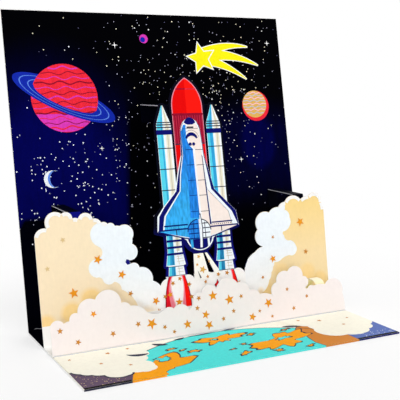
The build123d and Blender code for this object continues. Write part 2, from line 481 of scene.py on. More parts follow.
def ink_on_paper(tree, given):
    """Ink that is mottled like offset print, brushed along the sheet's height and matt, on fibres."""
    cloudy = noise(tree, given["Place"], MOTTLE_GRAIN, 4.0)
    brushed = streaks(tree, given["Place"], BRUSH_GRAIN)
    fibres = noise(tree, given["Place"], FIBRE_GRAIN, 2.0)
    mottle = product(tree, reckon(tree, "SUBTRACT", cloudy, 0.5), given["Mottle"])
    brush = product(tree, reckon(tree, "SUBTRACT", brushed, 0.5), given["Brush"])
    level = reckon(tree, "ADD", reckon(tree, "MULTIPLY_ADD", mottle, 2.0, 1.0), product(tree, brush, 2.0))
    tone = node(tree, "ShaderNodeHueSaturation", [("Value", level), ("Color", given["Ink"])])
    rough = reckon(tree, "MULTIPLY_ADD", cloudy, ROUGH_SPAN, LEAST_ROUGH)
    return {"Color": tone.outputs[0], "Roughness": rough, "Height": fibres}


def sheet_sides(tree, given):
    """Masks for a cut sheet's printed front and its plain back; its edges have neither."""
    square_on = 0.9
    facing = vector(tree, "DOT_PRODUCT", given["Normal"], given["Facing"])["Value"]
    return {
        "Front": reckon(tree, "GREATER_THAN", facing, square_on),
        "Back": reckon(tree, "LESS_THAN", facing, -square_on),
    }


def soft_spot(tree, given):
    """Mask that is 1 in its core and falls to 0 at its reach, by a power of the way that is left."""
    away = vector(tree, "SUBTRACT", given["Place"], given["Centre"])[0]
    length = vector(tree, "LENGTH", vector(tree, "DIVIDE", away, given["Reach"])[0])["Value"]
    return {"Spot": reckon(tree, "POWER", ramp(tree, length, 1.0, given["Core"]), given["Curve"])}


# Each group's making, inputs as (name, kind, default) and outputs as (name, kind)
GROUPS = {
    "Ink on paper": (
        ink_on_paper,
        [("Place", "Vector", (0, 0, 0)), ("Ink", "Color", (1, 1, 1, 1)), ("Mottle", "Float", 0.06),
         ("Brush", "Float", 0.0)],
        [("Color", "Color"), ("Roughness", "Float"), ("Height", "Float")],
    ),
    "Sheet sides": (
        sheet_sides,
        [("Normal", "Vector", (0, 0, 1)), ("Facing", "Vector", (0, 0, 1))],
        [("Front", "Float"), ("Back", "Float")],
    ),
    "Soft spot": (
        soft_spot,
        [("Place", "Vector", (0, 0, 0)), ("Centre", "Vector", (0, 0, 0)), ("Reach", "Vector", (1, 1, 1)),
         ("Core", "Float", 0.5), ("Curve", "Float", 2.0)],
        [("Spot", "Float")],
    ),
}


def group_of(name):
    """Shader group of that name, built the first time it is asked for."""
    if name in bpy.data.node_groups:
        return bpy.data.node_groups[name]
    make, inputs, outputs = GROUPS[name]
    group = bpy.data.node_groups.new(name, "ShaderNodeTree")
    for label, kind, default in inputs:
        socket = group.interface.new_socket(label, in_out="INPUT", socket_type="NodeSocket" + kind)
        socket.default_value = default
    for label, kind in outputs:
        group.interface.new_socket(label, in_out="OUTPUT", socket_type="NodeSocket" + kind)
    results = make(group, group.nodes.new("NodeGroupInput").outputs)
    node(group, "NodeGroupOutput", results.items())
    return group


def use(tree, name, **inputs):
    """Outputs of a group, placed in a material with its own values."""
    made = node(tree, "ShaderNodeGroup", node_tree=group_of(name))
    for key, value in inputs.items():
        plug(tree, made.inputs[key], value)
    return made.outputs


def soft_spots(tree, place, sheet, spots, core, curve):
    """Mask of soft spots: x and height on a sheet, reach across and up, and strength of each."""
    masks = []
    for x, v, wide, tall, strength in spots:
        centre = MM * (SHEETS[sheet][0] + x * ACROSS + v * UP)
        spot = use(
            tree, "Soft spot", Place=place, Centre=tuple(centre), Reach=(wide * MM, 0.1, tall * MM),
            Core=core, Curve=curve,
        )
        masks.append(product(tree, spot[0], strength))
    return greatest(tree, *masks)


# Papers and inks

# Soft spots as (x, height, reach across, reach up, strength)
BLUE_SPOTS = [(-52, 45, 62, 83, 1.0), (46, 67, 66, 32, 0.23), (50, 73.5, 16, 20, 0.62)]
# Painted shadows of the cloud towers on the lower sky
SKY_SHADOW_SPOTS = [(-66, 16, 32, 30, 0.9), (52, 20, 40, 40, 1.0)]
# Pink painted at the foot of the front clouds, against the green light that the sea bounces onto them
BOUNCE_OFFSET_SPOTS = [(2, 2, 50, 17, 1.0)]
# Painted shade of the front clouds on the white rear clouds by their foot, in gold
FOOT_SHADE_SPOTS = [(-23.7, 8.4, 7, 3, 0.5), (-28.5, 10.4, 5, 3.4, 0.3), (31, 9.4, 2.4, 3, 0.7)]
# Painted shadows of the front cloud lobes on the rear clouds, in gold
FRONT_SHADOW_SPOTS = [
    (-46, 16.4, 5.4, 5, 1.0), (-54.2, 11.6, 5.4, 5.4, 1.0), (-64.6, 8.6, 4.4, 4.6, 1.0),
    (-33, 14, 4.2, 5, 0.15), (-26.9, 10, 4.4, 4, 0.3), (42.6, 17.4, 4.6, 4.6, 0.6), (33, 9.6, 5, 6, 1.0),
    (56.2, 15.4, 5, 5.4, 0.8), (62.2, 11.6, 5.2, 5, 1.0),
]

# Inks with streaks, the palest inks, which get painted light low down against the shade between the layers,
# and the heights in metres between which inks change
LIGHT_BRUSH = 0.04
BRUSHED = {
    "orbiter_blue": 0.8, "orbiter_deep": 0.8, "planet_red": 0.25, "planet_pink": 0.25, "sea": 0.12,
    "crimson": 0.35, "cyan": 0.12, "azure": 0.2, "evening": 0.25, "dusk": 0.25, "land": 0.12, "tan": 0.15,
}
# Painted light: these inks go to white towards the foot, against the shade between the layers
FOOT_LIT_INKS = ("cloud_white", "mist", "vapour")
FOOT_PAINTED_LIGHT = (1.0, 1.0, 0.98, 1.0)
FOOT_LIGHT_HEIGHTS = (0.030, 0.012)
DEEPER_FROM = (0.050, 0.068)
HONEY_PALES = (0.046, 0.024)
STRAP_CREAMS = (0.0155, 0.0120)

# Borders in metres of the painted shadows on the sky, a band behind the shuttle and a corner by the left
# cloud tower, and of the warm sides of the rear clouds
SHUTTLE_SHADOW_LEAN, SHUTTLE_SHADOW_LEFT, SHUTTLE_SHADOW_RIGHT, SHUTTLE_SHADOW_TOP = -0.0966, (-0.0246, -0.0218), (0.010, 0.006), (0.097, 0.090)
TOWER_SHADOW_LEAN, TOWER_SHADOW_TOP = -0.66, (0.0472, 0.0452)
TOWER_SHADOW_SLOPE, TOWER_SHADOW_RIGHT = (-0.0962, -0.0938), (-0.040, -0.045)
PEACH_FROM, HONEY_FROM = (-0.022, -0.026), (0.026, 0.030)

# Grain of the sky's streaks and of the wash on the front clouds
SKY_GRAIN, WASH_GRAIN = (420.0, 420.0, 36.0), 42.0

# In millimetres: how near a face of the cover is to the edge it belongs to, and where the base's paper ends
NEAR_FRONT, NEAR_TOP, GROUND_END = 0.03, 0.4, 1.5

# In millimetres: half the shuttle's reach, the heights between which its margin turns bluer, how far behind
# the front clouds their flap is, and the stretch in front of the sky where a strut's cut sides show
SHUTTLE_REACH, MARGIN_BLUES, FLAP_BEHIND, STRUT_SHOWS = 22.5, (42.0, 36.0), -3.0, (0.6, 21.2)
LEFT_STRUT_END = -30.0

# Inks along the front edge of the base, each from its x in metres to the next
RIM_INKS = ((-0.0493, "land"), (-0.0365, "sea"), (0.0305, "earth"), (0.0464, "navy"))


def new_material(name):
    """Material with its node tree, its shader and its object coordinates."""
    made = bpy.data.materials.new(name)
    made.use_nodes = True
    tree = made.node_tree
    return made, tree, tree.nodes["Principled BSDF"], tree.nodes.new("ShaderNodeTexCoord").outputs["Object"]


def finish_paper(tree, shader, place, ink, mottle=0.06, brush=0.0, sheen=0.05):
    """Puts ink on paper into the shader, with fibres that catch the light; sheen is its gloss."""
    printed = use(tree, "Ink on paper", Place=place, Ink=ink, Mottle=mottle, Brush=brush)
    fibres = [("Height", printed["Height"]), ("Strength", 0.10), ("Distance", 0.00008)]
    plug(tree, shader.inputs["Base Color"], printed["Color"])
    plug(tree, shader.inputs["Roughness"], printed["Roughness"])
    plug(tree, shader.inputs["Normal"], node(tree, "ShaderNodeBump", fibres).outputs[0])
    shader.inputs["Specular IOR Level"].default_value = sheen


def ink_material(ink):
    """Material of one printing ink; the palest inks get painted light towards the foot of the sheets,
    against the shade between the layers.
    """
    name = ink + "_ink"
    if name in bpy.data.materials:
        return bpy.data.materials[name]
    made, tree, shader, place = new_material(name)
    shade = shade_of(ink)
    # Painted light towards the foot, against the shade between the layers
    if ink in FOOT_LIT_INKS:
        shade = blend(tree, ramp(tree, axis(tree, place, "Z"), *FOOT_LIGHT_HEIGHTS), shade, FOOT_PAINTED_LIGHT)
    if ink == "orbiter_blue":
        deeper = ramp(tree, axis(tree, place, "Z"), *DEEPER_FROM)
        shade = blend(tree, deeper, shade, shade_of("orbiter_deep"))
    # The white clouds get painted gold shade where the front clouds' foot shades them
    if ink == "cloud_white":
        foot_shade = soft_spots(tree, place, "rear", FOOT_SHADE_SPOTS, 0.3, 1.0)
        shade = blend(tree, foot_shade, shade, shade_of("painted_shadow_gold"))
    finish_paper(tree, shader, place, shade, brush=BRUSHED.get(ink, LIGHT_BRUSH))
    return made


def sky_ink(tree, place):
    """Night ink: streaky blue fields that fade to black, with painted shadows of the shuttle and the cloud
    towers in black.

    The painted shuttle shadow's borders and the painted tower shadow's lean: their x less a share of the
    height is constant.
    """
    height = reckon(tree, "SUBTRACT", reach_along(tree, place, UP), level_of("sky", UP))
    across = axis(tree, place, "X")
    leaning = reckon(tree, "MULTIPLY_ADD", height, SHUTTLE_SHADOW_LEAN, across)
    sloping = reckon(tree, "MULTIPLY_ADD", height, TOWER_SHADOW_LEAN, across)
    # Painted shadow of the shuttle on the sky: a band that leans with the height
    band = product(tree, ramp(tree, leaning, *SHUTTLE_SHADOW_LEFT), ramp(tree, leaning, *SHUTTLE_SHADOW_RIGHT))
    band = product(tree, band, ramp(tree, height, *SHUTTLE_SHADOW_TOP))
    # Painted shadow of the left cloud tower on the sky's lower left corner
    corner = product(tree, ramp(tree, height, *TOWER_SHADOW_TOP), ramp(tree, sloping, *TOWER_SHADOW_SLOPE))
    corner = product(tree, corner, ramp(tree, across, *TOWER_SHADOW_RIGHT), 0.98)
    # All painted shadows on the sky, with those of both cloud towers as soft spots
    dark = greatest(tree, band, soft_spots(tree, place, "sky", SKY_SHADOW_SPOTS, 0.45, 1.0), corner)
    brushed = reckon(tree, "MULTIPLY_ADD", streaks(tree, place, SKY_GRAIN), 0.9, 0.55)
    glow = soft_spots(tree, place, "sky", BLUE_SPOTS, 0.5, 2.2)
    glow = product(tree, glow, brushed, reckon(tree, "SUBTRACT", 1.0, dark))
    return blend(tree, glow, shade_of("sky_black"), shade_of("sky_blue"))


def cover_material():
    """Cover: night sky inside, pale base in front of the clouds, bare paper on its edges and outside.

    Inside is where a face points up or to the front; the base's front edge has the inks of its print.
    """
    made, tree, shader, place = new_material("printed_card")
    normal = true_normal(tree)
    across, depth = axis(tree, place, "X"), axis(tree, place, "Y")
    front = reckon(tree, "LESS_THAN", depth, MM * (FRONT_EDGE + NEAR_FRONT))
    top = reckon(tree, "GREATER_THAN", reach_along(tree, place, UP), level_of("sky", UP, BACK - NEAR_TOP))
    inner = reckon(tree, "GREATER_THAN", reach_along(tree, normal, (0.0, -0.6, 0.8)), 0.3)
    inside = reckon(tree, "SUBTRACT", inner, greatest(tree, cut_sides(tree, normal), front, top))
    inside = greatest(tree, inside, 0.0)
    ground = reckon(tree, "LESS_THAN", depth, MM * GROUND_END)
    inside_ink = blend(tree, ground, sky_ink(tree, place), shade_of("ivory"))
    ink = blend(tree, inside, shade_of("paper"), inside_ink)
    rim_ink = shade_of("line_ink")
    for start, name in RIM_INKS:
        rim_ink = blend(tree, reckon(tree, "GREATER_THAN", across, start), rim_ink, shade_of(name))
    ink = blend(tree, front, ink, rim_ink)
    brush = reckon(tree, "MULTIPLY_ADD", inside, 0.15, 0.02)
    finish_paper(tree, shader, place, ink, mottle=0.05, brush=brush, sheen=0.01)
    return made


def cloud_material():
    """Rear layer: peach on the left, honey on the right, white between, with painted gold shadows of the
    front clouds low down.

    The shuttle's margin is dark blue, and bluer towards its foot.
    """
    made, tree, shader, place = new_material("cloud_paper")
    sides = use(tree, "Sheet sides", Normal=true_normal(tree), Facing=tuple(FACING))
    across, rise = axis(tree, place, "X"), reach_along(tree, place, UP)
    paler = ramp(tree, axis(tree, place, "Z"), *HONEY_PALES)
    ink = blend(tree, ramp(tree, across, *PEACH_FROM), shade_of("cloud_white"), shade_of("peach"))
    honey = blend(tree, paler, shade_of("honey"), shade_of("pale_honey"))
    ink = blend(tree, ramp(tree, across, *HONEY_FROM), ink, honey)
    # Painted gold shadows of the front clouds on the rear clouds
    ink = blend(tree, soft_spots(tree, place, "rear", FRONT_SHADOW_SPOTS, 0.6, 1.0), ink, shade_of("painted_shadow_gold"))
    ink = blend(tree, sides["Front"], shade_of("paper"), ink)
    off_middle = reckon(tree, "ABSOLUTE", reckon(tree, "SUBTRACT", across, STACK * MM))
    near = reckon(tree, "LESS_THAN", off_middle, MM * SHUTTLE_REACH)
    above = reckon(tree, "GREATER_THAN", rise, level_of("rear", UP, BOOSTER_HEIGHTS[-1]))
    shuttle = product(tree, near, above, reckon(tree, "SUBTRACT", 1.0, sides["Back"]))
    low = ramp(tree, rise, *(level_of("rear", UP, height) for height in MARGIN_BLUES))
    margin = blend(tree, product(tree, low, 0.6), shade_of("margin_blue"), shade_of("blue_margin"))
    ink = blend(tree, shuttle, ink, margin)
    finish_paper(tree, shader, place, ink, mottle=0.035, brush=0.03)
    return made


def front_material():
    """Front layer: blush white clouds, with pink painted towards the foot against the sea's green bounce
    light, bare paper behind and on the flap.
    """
    made, tree, shader, place = new_material("white_paper")
    sides = use(tree, "Sheet sides", Normal=true_normal(tree), Facing=tuple(FACING))
    wash = product(tree, noise(tree, place, WASH_GRAIN, 1.0), 0.5)
    ink = blend(tree, wash, shade_of("blush"), shade_of("rosy"))
    # Painted pink towards the foot, against the sea's green bounce light
    ink = blend(tree, soft_spots(tree, place, "front", BOUNCE_OFFSET_SPOTS, 0.3, 1.0), ink, shade_of("rosy"))
    out = reach_along(tree, place, FACING)
    flap = reckon(tree, "LESS_THAN", out, level_of("front", FACING, FLAP_BEHIND))
    ink = blend(tree, flap, ink, shade_of("paper"))
    ink = blend(tree, sides["Front"], shade_of("paper"), ink)
    finish_paper(tree, shader, place, ink, mottle=0.03, brush=0.02)
    return made


def strut_material():
    """Struts: dark, with pale cut sides between the sky and the clouds and a blue tab on the left."""
    made, tree, shader, place = new_material("strut_paper")
    out = reach_along(tree, place, FACING)
    side = cut_sides(tree, true_normal(tree))
    clear = reckon(tree, "GREATER_THAN", out, level_of("sky", FACING, STRUT_SHOWS[0]))
    before = reckon(tree, "LESS_THAN", out, level_of("sky", FACING, STRUT_SHOWS[1]))
    left = reckon(tree, "LESS_THAN", axis(tree, place, "X"), MM * LEFT_STRUT_END)
    left_tab = product(tree, left, reckon(tree, "SUBTRACT", 1.0, before))
    tab = blend(tree, left_tab, shade_of("strut_paper"), shade_of("blue_margin"))
    ink = blend(tree, product(tree, side, product(tree, clear, before)), tab, shade_of("cut_grey"))
    finish_paper(tree, shader, place, ink, mottle=0.08, brush=0.1, sheen=0.01)
    return made


def strap_material():
    """Strap: pale paper that turns to cream low down."""
    made, tree, shader, place = new_material("strap_paper")
    share = ramp(tree, axis(tree, place, "Z"), *STRAP_CREAMS)
    ink = blend(tree, share, shade_of("vapour"), shade_of("strap_cream"))
    finish_paper(tree, shader, place, ink, mottle=0.05)
    return made


# Print on the sky

# Swarms of small stars: ink, share of the count, middle, spread and size of a star
STAR_SWARMS = [
    ("star_blue", 0.17, (-46, 60), (18, 16), 0.30), ("star_dim", 0.05, (-42, 62), (18, 18), 0.24),
    ("star_white", 0.10, (24, 88), (28, 28), 0.29), ("star_cream", 0.17, (27, 102), (22, 22), 0.24),
    ("star_dim", 0.27, (25, 96), (26, 28), 0.21), ("star_faint", 0.26, (20, 92), (40, 32), 0.19),
    ("star_cream", 0.04, (-20, 95), (30, 25), 0.25), ("star_dim", 0.04, (-13, 72), (5, 18), 0.26),
]

# Sparkles as (x, height, size), and the shooting star's streaks as (turn, length, width)
SPARKLES = [(-18, 119, 1.5), (40, 66, 1.3), (-28, 74, 1.2), (60, 121, 1.4)]
STREAKS = [(0.16, 30, 3), (0.42, 25, 2.4), (-0.10, 23, 2.4)]

# Rings of the planet: ink, outer and inner share of the widest ring, and levels above it
RINGS = [
    ("ring_blue", 1.0, 0.60, 0), ("ring_sky", 0.88, 0.858, 1), ("ring_blue", 0.83, 0.808, 1),
    ("ring_sky", 0.72, 0.698, 1), ("ring_blue", 0.68, 0.658, 1),
]


def print_sky():
    """Stars, planets, a moon and a shooting star on the sky."""
    sky = Printing("sky")
    rng = np.random.default_rng(11)
    print_sky_dots(sky, rng, bpy.context.scene.card_sizes.sky_dots)
    print_wear(sky, rng)
    print_ringed_planet(sky, np.array([-42.5, 96.0]), 14.6, np.radians(-24))
    print_banded_planet(sky, np.array([50.5, 91.0]), 7.2)
    print_moon(sky, np.array([-51.0, 62.0]), 3.6)
    print_shooting_star(sky, np.array([24.0, 113.5]))
    for x, v, size in SPARKLES:
        sky.fan("star_white", 1, star((x, v), size, points=4, waist=0.22))
    sky.fan("planet_pink", 1, disc((-4.0, 122.0), 2.0))
    sky.fan("ring_blue", 2, disc((-4.5, 121.6), 1.2))
    sky.piece("sky_print", "printed_card")


def print_sky_dots(sky, rng, count):
    """Small stars, spread normally about the middle of each swarm and kept off the edges and the clouds."""
    for ink, share, centre, spread, size in STAR_SWARMS:
        middles = rng.normal(centre, spread, (int(count * share), 2))
        x, v = middles.T
        middles = middles[(np.abs(x) < HALF - 0.8) & (v > 20.0) & (v < BACK - 0.8)]
        sky.dots(ink, 0, middles, size * (0.75 + 0.4 * rng.random(len(middles))))


def print_wear(sky, rng):
    """Tiny chips of bare paper along the edges of the sky and a rubbed crease by the spine."""
    above, beside, inset = 9, 12, 0.16
    along = rng.uniform(-HALF + 2, HALF - 2, above)
    heights = rng.uniform(40.0, BACK - 4, beside)
    ends = np.where(np.arange(beside) % 2 == 0, -1.0, 1.0) * (HALF - inset)
    top = np.stack([along, np.full(above, BACK - inset)], -1)
    chips = np.concatenate([top, np.stack([ends, heights], -1)])
    sky.dots("paper", 1, chips, rng.uniform(0.08, 0.15, above + beside), 7)
    crease = np.stack([np.linspace(-HALF + 2.5, -HALF + 9.0, 12), 1.3 + 0.2 * np.sin(np.arange(12))], -1)
    sky.line("cut_grey", 1, crease, 0.07, 0.07)


def print_ringed_planet(sky, middle, radius, tilt):
    """Red planet with pink bands and a tilted ring that passes behind it and then in front of it.

    The widest ring is an ellipse of 1.62 radii, 0.26 times as high as wide, turned by the tilt.
    """
    spin = np.array([[np.cos(tilt), np.sin(tilt)], [-np.sin(tilt), np.cos(tilt)]])
    widest = 1.62 * radius * circle(np.linspace(0, 2 * np.pi, 97)) * (1.0, 0.26) @ spin
    for ink, outer, inner, more in RINGS:
        for level, half in ((1, widest[:49]), (8, widest[48:])):
            sky.field(ink, level + more, middle + ruled(outer * half, inner * half))
    sky.fan("planet_red", 4, disc(middle, radius, 64))
    sky.field("planet_pink", 5, chord_band(middle, radius * 0.995, -0.98 * radius, -0.46 * radius))
    for number, low in enumerate(np.linspace(-0.88, 0.86, 13)):
        ink = "crimson" if number % 2 else "planet_red" if low < -0.46 else "planet_pink"
        high = low + (0.024 if number % 3 else 0.04)
        band = wavy_band(middle, radius * 0.99, low * radius, high * radius, 0.05 * radius, 1.7 * number)
        sky.field(ink, 6, band)


def print_banded_planet(sky, middle, radius):
    """Amber planet with wavy pale bands and a red lower side."""
    sky.fan("planet_red", 1, disc(middle, radius, 48))
    lit = middle + (-0.5, 0.8)
    sky.fan("amber", 2, disc(lit, radius * 0.89, 48))
    for number, low in enumerate((-0.62, -0.40, -0.22, -0.02, 0.18, 0.36, 0.54, 0.70)):
        high = low + 0.07
        band = wavy_band(lit, radius * 0.88, low * radius, high * radius, 0.05 * radius, 2.1 * number)
        sky.field("rose_light" if number % 2 else "cut_grey", 3, band)


def print_moon(sky, middle, radius):
    """Crescent moon between two arcs."""
    angle = np.linspace(-1.9, 1.9, 40)
    outer = middle + radius * np.stack([-np.cos(angle), np.sin(angle)], -1)
    inner = middle + radius * np.stack([0.55 - 0.82 * np.cos(angle * 0.95), 0.98 * np.sin(angle)], -1)
    sky.field("ring_sky", 1, ruled(outer, inner))
    sky.field("cloud_white", 2, ruled(outer, outer + (inner - outer) * 0.62))


def print_shooting_star(sky, middle):
    """Yellow star with three tapering streaks behind it, each a falling parabola with a white edge."""
    t = np.linspace(0.0, 1.0, 30)
    for number, (turn, length, width) in enumerate(STREAKS):
        fall = length * (np.tan(turn) * t - 0.30 * t**2) + 2.0 * np.sin(3 * turn)
        path = middle + np.stack([length * t, fall], -1)
        taper = width * (1 - t) ** 0.8 + 0.05
        sky.line("star_white", 1 + 0.3 * number, path, taper + 0.35, taper + 0.35)
        sky.line("star_yellow", 2 + 0.3 * number, path, taper, taper)
    sky.fan("star_white", 3, star(middle, 8.2, waist=0.47, turn=0.2))
    sky.fan("star_yellow", 4, star(middle, 7.2, waist=0.46, turn=0.2))


# Print on the base

# Lands and lakes as (x, depth, half width, half depth, ink)
LANDS = [
    (-38, -28, 12.5, 11, "land"), (-1.5, -8.6, 8.8, 4.6, "land"), (19.5, -21.5, 11.5, 7.6, "land"),
    (-1, -28, 2.6, 1.8, "land"), (-17, -17, 2.6, 1.6, "land"), (12, -9.5, 2.4, 1.2, "land"),
    (-24, -11, 2.2, 1.2, "land"), (-20.5, -14, 1.7, 1, "land"), (3.5, -18.5, 1.7, 1, "land"),
    (12, -31, 2.4, 1.3, "land"), (27.5, -10.5, 2.4, 1.2, "earth"), (-3, -22, 1.4, 0.9, "land"),
    (25.5, -32, 2.2, 1.2, "land"),
]
LAKES = [(-31, -20, 3.6, 2, "sea"), (-4, -8.6, 2, 0.9, "sea"), (21, -19.5, 3.2, 1.6, "sea")]
BROWN_LAND = [
    (30.5, PRINT_FRONT), (29, -30), (29.8, -24), (31.4, -18), (30.4, -13.5), (34, -9), (39, -9), (47, -26),
    (47, PRINT_FRONT),
]

# Dark slivers between two bows: one end, the other end, and the bulge there and back
SLIVERS = [
    ((-41.6, -9.2), (-33.2, -11.6), -0.04, 0.30), ((-28.2, -2.2), (-22.6, -5.4), 0.06, 0.26),
    ((-18.5, -1.8), (-13.4, -0.7), 0.06, 0.24), ((-12, -0.4), (-1, -0.5), 0.01, 0.06),
    ((3.8, 0), (10.5, 0.2), 0.05, 0.06), ((28, -7.2), (35.5, -10.6), 0.20, 0.02),
]

# Rims of the ivory clouds as cusps; the dusk cusps of the left one border its dark corner
LEFT_CLOUD = [
    (-PRINT_SIDE, 1, 0), (-33, 1, 0), (-33, -9, 0.2), (-35.3, -13.7, 0.18), (-37.5, -18.2, 0.15),
    (-36.2, -24.2, 0.25), (-39.3, -28.6, 0.2), (-42.8, -28.5, 0.1), (-46.1, -27.5, 0.2),
    (-48.3, -29.4, 0.15), (-53.9, -29.1, 0.15), (-56, -25.6, 0.12), (-59.9, -23.5, 0.16),
    (-63.3, -20.9, 0.12), (-PRINT_SIDE, -17.3, 0),
]
RIGHT_CLOUD = [
    (PRINT_SIDE, 1, 0), (PRINT_SIDE, -18.1, 0.05), (63, -21, 0.2), (58.6, -25.5, 0.16), (53, -29.3, 0.15),
    (50, -29.5, 0.1), (46.1, -27.8, 0.1), (40.6, -27, 0.1), (37, -22, 0.12), (38.2, -15.6, 0.08),
    (38, -11.5, 0.1), (34, -7, 0.1), (31, 1, 0),
]
DUSK_CUSPS = slice(8, 14)
BASE_STARS = [
    (-62, -5, 0.9), (-47, -4.5, 1.3), (-53, -14, 1), (-44, -20, 1), (-38.5, -3, 1), (39, -3, 1.1),
    (47, -7, 1.3), (53, -16, 1), (60, -9, 0.9),
]


def print_lands(base, lands, waves, seed, line, level):
    """Lands or lakes in a dark outline: the field's rim is drawn in by the line's width."""
    for number, (x, v, wide, deep, ink) in enumerate(lands):
        middle = np.array([x, v], float)
        rim = shore(middle, (wide, deep), waves, seed + number)
        inner = middle + (rim - middle) * (1 - line / min(wide, deep))
        base.fan("line_ink", level, cut_below(rim, middle, PRINT_FRONT), middle)
        base.fan(ink, level + 1, cut_below(inner, middle, PRINT_FRONT), middle)


def print_base():
    """Globe, clouds and night corners on the part of the base in front of the clouds.

    The horizon is the top of a circle of 60 mm radius.
    """
    base = Printing("base")
    x = np.linspace(-50.0, 48.0, 90)
    horizon = np.stack([x, np.sqrt(60.0**2 - (x + 2.0) ** 2) - 60.0], -1)
    base.field("sea", 1, ruled(np.stack([x, np.full_like(x, PRINT_FRONT)], -1), horizon))
    base.line("line_ink", 2, horizon, 0.22, 0.16)
    print_lands(base, LANDS, 15, 40, 0.52, 2)
    base.band("land", 3.2, [PRINT_FRONT, -29.0], -49.6, [-44.5, -43.0])
    base.shape("earth", 1.5, BROWN_LAND)
    base.line("line_ink", 1.7, BROWN_LAND[:6], 0.0, 0.3)
    print_lands(base, LAKES, 12, 70, 0.36, 4)
    for start, end, there, back in SLIVERS:
        base.shape("line_ink", 7, np.concatenate([bow(start, end, there), bow(end, start, back)]))
    for cusps in (LEFT_CLOUD, RIGHT_CLOUD):
        base.shape("ivory", 6, lobes(cusps + cusps[:1])[:-1])
    dusk = [(-PRINT_SIDE, -15.0), (-45.6, -26.5), (-49.3, PRINT_FRONT), (-PRINT_SIDE, PRINT_FRONT)]
    evening = [(PRINT_SIDE, -15.0), (PRINT_SIDE, PRINT_FRONT), (46.4, PRINT_FRONT), (46.0, -26.5)]
    base.shape("dusk", 4, dusk)
    base.shape("evening", 4, evening)
    base.line("line_ink", 6.5, lobes(LEFT_CLOUD[DUSK_CUSPS] + [(-HALF + 0.8, -17.9, 0)]), 0.5, 0.3)
    # Black strips along the front edge of the night corners: painted shadow under the base's front edge
    for left, right in ((-PRINT_SIDE, -49.4), (46.5, PRINT_SIDE)):
        base.band("sky_black", 5.5, [PRINT_FRONT, PRINT_FRONT + 1.3], left, right)
    rng = np.random.default_rng(5)
    for ink, low, high, count in (
        ("star_tan", (-65.5, -34.2), (-50.5, -22.0), 70), ("star_white", (51.0, -34.0), (65.5, -29.0), 34),
    ):
        base.dots(ink, 5, rng.uniform(low, high, (count, 2)), rng.uniform(0.12, 0.26, count))
    base.stars(7, 1.0, BASE_STARS, "star_brown")
    base.band("ring_sky", 7, [0.62, 0.46], -HALF + 0.1, HALF - 0.1)
    base.piece("base_print", "printed_card")


# Print on the cloud layers

# Cut edge of the rear clouds as cusps, in the shares of width and rise that the cutting die has
CLOUD_SHARE = np.array([HALF / 100, 0.52, 1.0])
REAR_LEFT = [
    (-100, 82, 0.22), (-92.5, 87.5, 0.42), (-83, 97.5, 0.32), (-76.5, 93.5, 0.10), (-73, 93, 0.38),
    (-64, 92, 0.18), (-59, 88.5, 0.18), (-55, 87, 0.25), (-50.5, 85, 0.08), (-47.5, 84.5, 0.40),
    (-40, 74, 0.05), (-40.5, 70, 0.46), (-43.5, 57.5, 0.05), (-42.5, 54.5, 0.28), (-37, 51, 0.27),
    (-29, 39.5, 0.08), (-24, 34.5, 0.15), (-19, 39.5, 0.0),
]
REAR_RIGHT = [
    (28, 40.5, 0.24), (36, 36.5, 0.15), (45, 52.5, 0.08), (51.5, 56.5, 0.32), (48.5, 71, 0.38),
    (58.5, 84.5, 0.13), (66, 88.5, 0.12), (71.5, 92.5, 0.27), (84, 93.5, 0.08), (90.5, 96, 0.36),
    (101, 89.5, 0.05), (102, 83, 0.0),
]
REAR_MIDDLE = [
    (-24, 34.5, 0.15), (-19, 39.5, 0.0), (-6.5, 40.5, 0.22), (-0.5, 36.5, 0.0), (10, 41, -0.10),
    (14, 40.5, 0.0), (28, 40.5, 0.24), (36, 36.5, 0.0),
]

# Borders between warm and white clouds as cusps, upwards on the left and downwards on the right
LEFT_BORDER = [
    (-26, 0.5, 0), (-26.9, 11.6, -0.1), (-33.1, 18.6, -0.2), (-36, 22, 0.3), (-40.6, 23.2, -0.2),
    (-43, 24.4, 0.42), (-43, 31.8, -0.45), (-41.2, 36.6, 0.35), (-40.8, 45.9, 0),
]
RIGHT_BORDER = [
    (47, 47.6, 0.1), (47, 44.5, 0.2), (49.2, 40.9, 0.15), (48.7, 37, 0.12), (45.3, 35, -0.3),
    (45.4, 33.3, -0.25), (48.4, 30.8, 0.12), (51, 28.4, 0.2), (50.6, 25, 0.2), (47.3, 24.3, -0.05),
    (43.1, 23, 0.12), (39.1, 22, 0.1), (38.2, 19.9, 0.1), (37.1, 17.6, 0.12), (35.6, 14.4, 0.12),
    (31.4, 9.3, 0), (30.5, 0.5, 0),
]

# Stars on the clouds as (x, height, size)
FADED_STARS = [(-55.5, 40.5, 1.2), (-62.6, 30, 1.2)]
REAR_STARS = [
    (-53, 19.5, 2.2), (-42, 31.5, 2), (-32.5, 24.5, 1.9), (-29.5, 16.5, 1.3), (54.5, 38.5, 2.1),
    (56, 25, 1.3), (38.5, 23.5, 1.8), (39.5, 33, 0.9), (32.5, 16, 0.9),
]
FRONT_STARS = [
    (-62.9, 9.2, 1.3), (-56.3, 4.1, 1.3), (-49.4, 13.8, 1.4), (-42.3, 5.3, 1.3), (-31.7, 7.5, 1.3),
    (-26, 6.9, 2.4), (-20.6, 4.8, 1.1), (-16.7, 2.4, 1), (-10.7, 4.5, 2), (-5.7, 10.3, 1.2),
    (-2.2, 7.2, 1.9), (-1.1, 2.9, 2.1), (1.8, 14.4, 2.2), (5.7, 4.5, 1.1), (9.2, 11.9, 2.3),
    (-4.7, 14.2, 1.2), (10.7, 7, 1.1), (14.8, 12.6, 1.1), (19.3, 3.4, 1.9), (23, 5.4, 0.9),
    (27.6, 8.2, 2.2), (28.9, 2.4, 0.9), (37.4, 12.8, 1), (39.9, 4.4, 1.1), (47, 8.7, 1),
]


def cloud(shares):
    """Cusps of a rear cloud in millimetres."""
    return [tuple(row) for row in np.array(shares) * CLOUD_SHARE]


